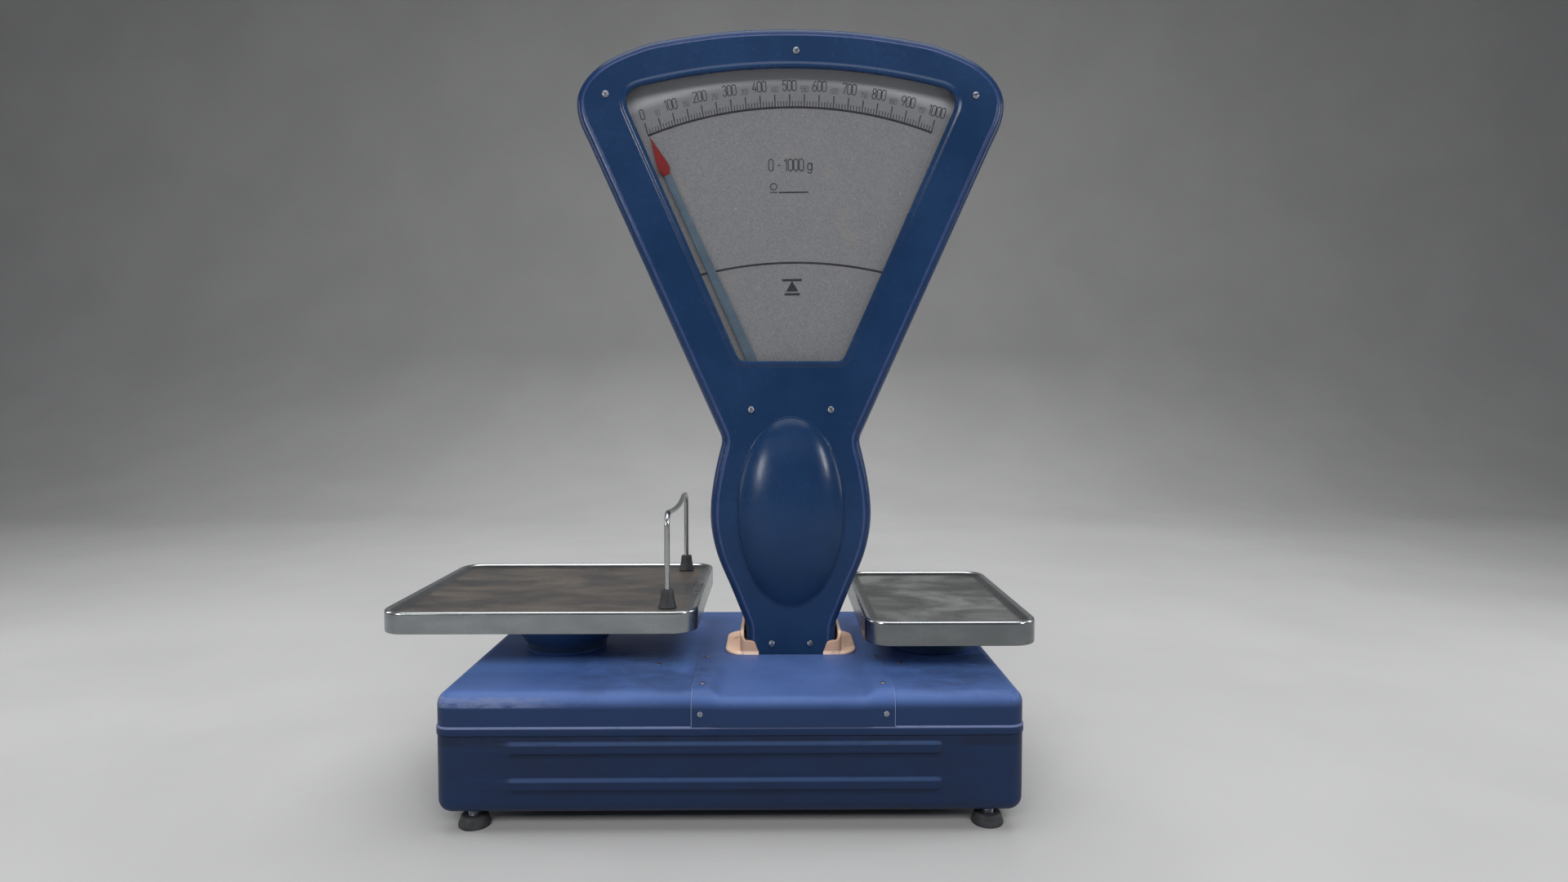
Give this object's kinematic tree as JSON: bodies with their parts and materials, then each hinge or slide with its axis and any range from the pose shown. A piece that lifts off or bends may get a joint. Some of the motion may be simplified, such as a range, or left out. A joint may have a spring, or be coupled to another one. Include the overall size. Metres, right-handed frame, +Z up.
{
  "type": "fan-dial counter scale",
  "caption": "Mechanical counter scale: box base on levelling feet, tall fan-shaped dial head, wide goods pan with a wire guard, small weights pan.",
  "frame": {"origin": "middle of the overall box in X and Y, on the table under the feet", "axes": "+Z up; +X towards the weights pan; +Y towards the rear dial, so the front dial faces -Y"},
  "size_m": [0.5666, 0.2976, 0.7],
  "materials": {
    "base_paint": "semi-gloss blue enamel, rubbed and smudged with use",
    "head_paint": "semi-gloss darker blue enamel with rubbed edges",
    "screw_steel": "dull turned steel",
    "pan_steel": "brushed stainless steel, stained by use",
    "bright_steel": "polished",
    "cast_iron": "grey casting, lightly sanded",
    "brass": "turned, dull",
    "dial_paint": "flat grey dial print, yellowed in patches",
    "pointer_paint": "satin blue-grey shaft with a red tip",
    "collar_plastic": "moulded, satin",
    "rubber": "matt black",
    "window_glass": "clear flat glass"
  },
  "bodies": {
    "base": {"base_tray": "base_paint", "base_cover": "base_paint", "front_plate": "base_paint", "plate_screw_1": "screw_steel", "plate_screw_2": "screw_steel", "plate_screw_3": "screw_steel", "plate_screw_4": "screw_steel", "plate_screw_5": "screw_steel", "plate_screw_6": "screw_steel", "cover_screw_1": "screw_steel", "cover_screw_2": "screw_steel", "front_housing": "head_paint", "rear_housing": "head_paint", "front_window": "window_glass", "rear_window": "window_glass", "front_dial": "dial_paint", "rear_dial": "dial_paint", "housing_screw_1": "screw_steel", "housing_screw_2": "screw_steel", "housing_screw_3": "screw_steel", "housing_screw_4": "screw_steel", "housing_screw_5": "screw_steel", "housing_screw_6": "screw_steel", "housing_screw_7": "screw_steel", "column_collar": "collar_plastic", "quadrant_frame": "cast_iron", "mechanism_stand": "cast_iron", "damper_cylinder": "cast_iron", "goods_collar": "base_paint", "weights_collar": "base_paint"},
    "beam": {"beam": "cast_iron", "goods_knife": "bright_steel", "fulcrum_knife": "bright_steel", "weights_knife": "bright_steel"},
    "goods_carrier": {"goods_carrier": "cast_iron", "goods_dish": "base_paint"},
    "weights_carrier": {"weights_carrier": "cast_iron", "weights_dish": "base_paint"},
    "goods_pan": {"goods_pan": "pan_steel", "guard_wire": "bright_steel", "guard_bush_front": "rubber", "guard_bush_rear": "rubber"},
    "weights_pan": {"weights_pan": "pan_steel"},
    "stay": {"stay_bar": "bright_steel"},
    "lever": {"transfer_lever": "cast_iron"},
    "shackle": {"shackle": "bright_steel"},
    "draft_rod": {"draft_rod": "bright_steel"},
    "pointer": {"quadrant_axle": "bright_steel", "pendulum_weight": "brass", "front_pointer": "pointer_paint", "rear_pointer": "pointer_paint"},
    "damper_piston": {"damper_piston": "bright_steel"},
    "foot_1": {"foot_pad_1": "rubber", "foot_stud_1": "screw_steel"},
    "foot_2": {"foot_pad_2": "rubber", "foot_stud_2": "screw_steel"},
    "foot_3": {"foot_pad_3": "rubber", "foot_stud_3": "screw_steel"},
    "foot_4": {"foot_pad_4": "rubber", "foot_stud_4": "screw_steel"}
  },
  "joints": [
    {"name": "beam_tilt", "type": "hinge", "parent": "base", "child": "beam", "pos_m": [0.03075, 0.00035, 0.095], "axis": [0, -1, 0], "range_deg": [0, 2.4], "stiffness_Nm_per_rad": 41.7, "springref_deg": -1.89},
    {"name": "goods_carrier_swing", "type": "hinge", "parent": "beam", "child": "goods_carrier", "pos_m": [-0.14725, 0.00035, 0.095], "axis": [0, -1, 0], "range_deg": [-2.4, 0]},
    {"name": "weights_carrier_swing", "type": "hinge", "parent": "beam", "child": "weights_carrier", "pos_m": [0.20875, 0.00035, 0.095], "axis": [0, -1, 0], "range_deg": [-2.4, 0]},
    {"name": "stay_swing", "type": "hinge", "parent": "base", "child": "stay", "pos_m": [0.03075, 0.00035, 0.045], "axis": [0, -1, 0], "range_deg": [0, 2.4]},
    {"name": "lever_tilt", "type": "hinge", "parent": "base", "child": "lever", "pos_m": [0.14155, 0.00035, 0.065], "axis": [0, -1, 0], "range_deg": [0, 9.05]},
    {"name": "shackle_swing", "type": "hinge", "parent": "beam", "child": "shackle", "pos_m": [0.18155, 0.00035, 0.095], "axis": [0, -1, 0], "range_deg": [-2.4, 0]},
    {"name": "rod_pull", "type": "slide", "parent": "base", "child": "draft_rod", "axis": [0, 0, -1], "range_m": [0, 0.0095]},
    {"name": "pointer_turn", "type": "hinge", "parent": "base", "child": "pointer", "pos_m": [0.07075, 0.00035, 0.3218], "axis": [0, 1, 0], "range_deg": [0, 50.01]},
    {"name": "piston_swing", "type": "hinge", "parent": "beam", "child": "damper_piston", "pos_m": [-0.03425, 0.05035, 0.095], "axis": [0, -1, 0], "range_deg": [-2.4, 0]},
    {"name": "goods_pan_lift", "type": "slide", "parent": "goods_carrier", "child": "goods_pan", "axis": [0, 0, 1], "range_m": [0, 0.03]},
    {"name": "weights_pan_lift", "type": "slide", "parent": "weights_carrier", "child": "weights_pan", "axis": [0, 0, 1], "range_m": [0, 0.012]},
    {"name": "foot_level_1", "type": "slide", "parent": "base", "child": "foot_1", "axis": [0, 0, -1], "range_m": [0, 0.008]},
    {"name": "foot_level_2", "type": "slide", "parent": "base", "child": "foot_2", "axis": [0, 0, -1], "range_m": [0, 0.008]},
    {"name": "foot_level_3", "type": "slide", "parent": "base", "child": "foot_3", "axis": [0, 0, -1], "range_m": [0, 0.008]},
    {"name": "foot_level_4", "type": "slide", "parent": "base", "child": "foot_4", "axis": [0, 0, -1], "range_m": [0, 0.008]}
  ],
  "couplings": [
    {"joint": "goods_carrier_swing", "follows": "beam_tilt", "ratio": -1},
    {"joint": "weights_carrier_swing", "follows": "beam_tilt", "ratio": -1},
    {"joint": "stay_swing", "follows": "beam_tilt", "ratio": 1},
    {"joint": "lever_tilt", "follows": "beam_tilt", "ratio": 3.77},
    {"joint": "shackle_swing", "follows": "beam_tilt", "ratio": -1},
    {"joint": "rod_pull", "follows": "beam_tilt", "m_per_rad": 0.2262},
    {"joint": "pointer_turn", "follows": "beam_tilt", "ratio": 20.833},
    {"joint": "piston_swing", "follows": "beam_tilt", "ratio": -1}
  ]
}
